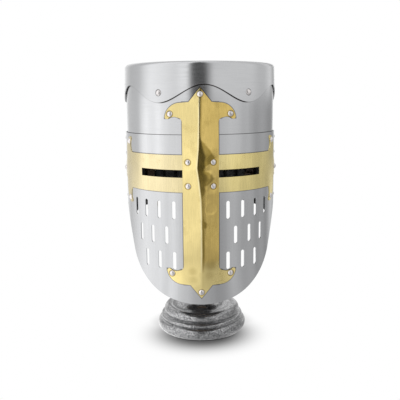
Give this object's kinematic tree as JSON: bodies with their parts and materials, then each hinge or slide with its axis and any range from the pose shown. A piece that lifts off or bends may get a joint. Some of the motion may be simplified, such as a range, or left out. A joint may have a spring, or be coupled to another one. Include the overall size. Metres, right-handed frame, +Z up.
{
  "type": "great helm",
  "caption": "Flat-topped great helm with a brass fleury cross, eye slits and breath slots, lined in leather and resting on a turned display stand.",
  "frame": {"origin": "centre of the underside of the stand's felt, on the floor", "axes": "+Z up along the stand, -Y the way the helm looks, +X to the right of a person who faces the helm"},
  "size_m": [0.2238, 0.2656, 0.406],
  "materials": {
    "steel_plate": "satin, brushed",
    "rivet_steel": "smooth",
    "brass_plate": "satin, lightly hammered",
    "buckle_brass": "worn",
    "liner_leather": "matt, stitched",
    "strap_leather": "waxed",
    "lace_cord": "twisted cord",
    "stand_casting": "glossy hammered enamel",
    "head_wood": "turned, oiled",
    "stand_felt": "felt",
    "fixing_steel": "plated"
  },
  "bodies": {
    "stand": {"stand_foot": "stand_casting", "foot_felt": "stand_felt", "foot_screw": "fixing_steel", "foot_washer": "fixing_steel", "stand_column": "stand_casting", "stand_head": "head_wood", "head_screw": "fixing_steel", "head_felt": "stand_felt"},
    "helm": {"crown_cap": "steel_plate", "upper_plate": "steel_plate", "face_plate": "steel_plate", "back_plate": "steel_plate", "cross_bar": "brass_plate", "cross_upright": "brass_plate", "cap_rivets": "rivet_steel", "cross_top_rivets": "rivet_steel", "cross_bottom_rivets": "rivet_steel", "cross_centre_rivets": "rivet_steel", "left_arm_rivets": "rivet_steel", "right_arm_rivets": "rivet_steel", "left_side_rivets": "rivet_steel", "right_side_rivets": "rivet_steel", "back_rivets": "rivet_steel", "strap_rivets": "rivet_steel", "liner_band": "liner_leather", "liner_tongues": "liner_leather", "liner_lace": "lace_cord", "nape_pad": "liner_leather", "strap_tabs": "strap_leather"},
    "buckle_strap": {"strap_left": "strap_leather", "left_keeper": "strap_leather"},
    "plain_strap": {"strap_right": "strap_leather", "right_keeper": "strap_leather"},
    "buckle": {"buckle_frame": "buckle_brass"},
    "prong": {"buckle_prong": "buckle_brass"}
  },
  "joints": [
    {"name": "helm_lift", "type": "slide", "parent": "stand", "child": "helm", "axis": [0, 0, 1], "range_m": [0, 0.32]},
    {"name": "strap_left_swing", "type": "hinge", "parent": "helm", "child": "buckle_strap", "pos_m": [-0.08123, 0.06019, 0.2495], "axis": [-0.4695, -0.8829, 0], "range_deg": [0, 35]},
    {"name": "strap_right_swing", "type": "hinge", "parent": "helm", "child": "plain_strap", "pos_m": [0.08123, 0.06019, 0.2495], "axis": [-0.4695, 0.8829, 0], "range_deg": [0, 35]},
    {"name": "buckle_swing", "type": "hinge", "parent": "buckle_strap", "child": "buckle", "pos_m": [-0.07897, 0.05899, 0.201], "axis": [-0.4695, -0.8829, 0], "range_deg": [0, 60]},
    {"name": "prong_swing", "type": "hinge", "parent": "buckle", "child": "prong", "pos_m": [-0.07897, 0.05899, 0.201], "axis": [-0.4695, -0.8829, 0], "range_deg": [0, 40]}
  ]
}
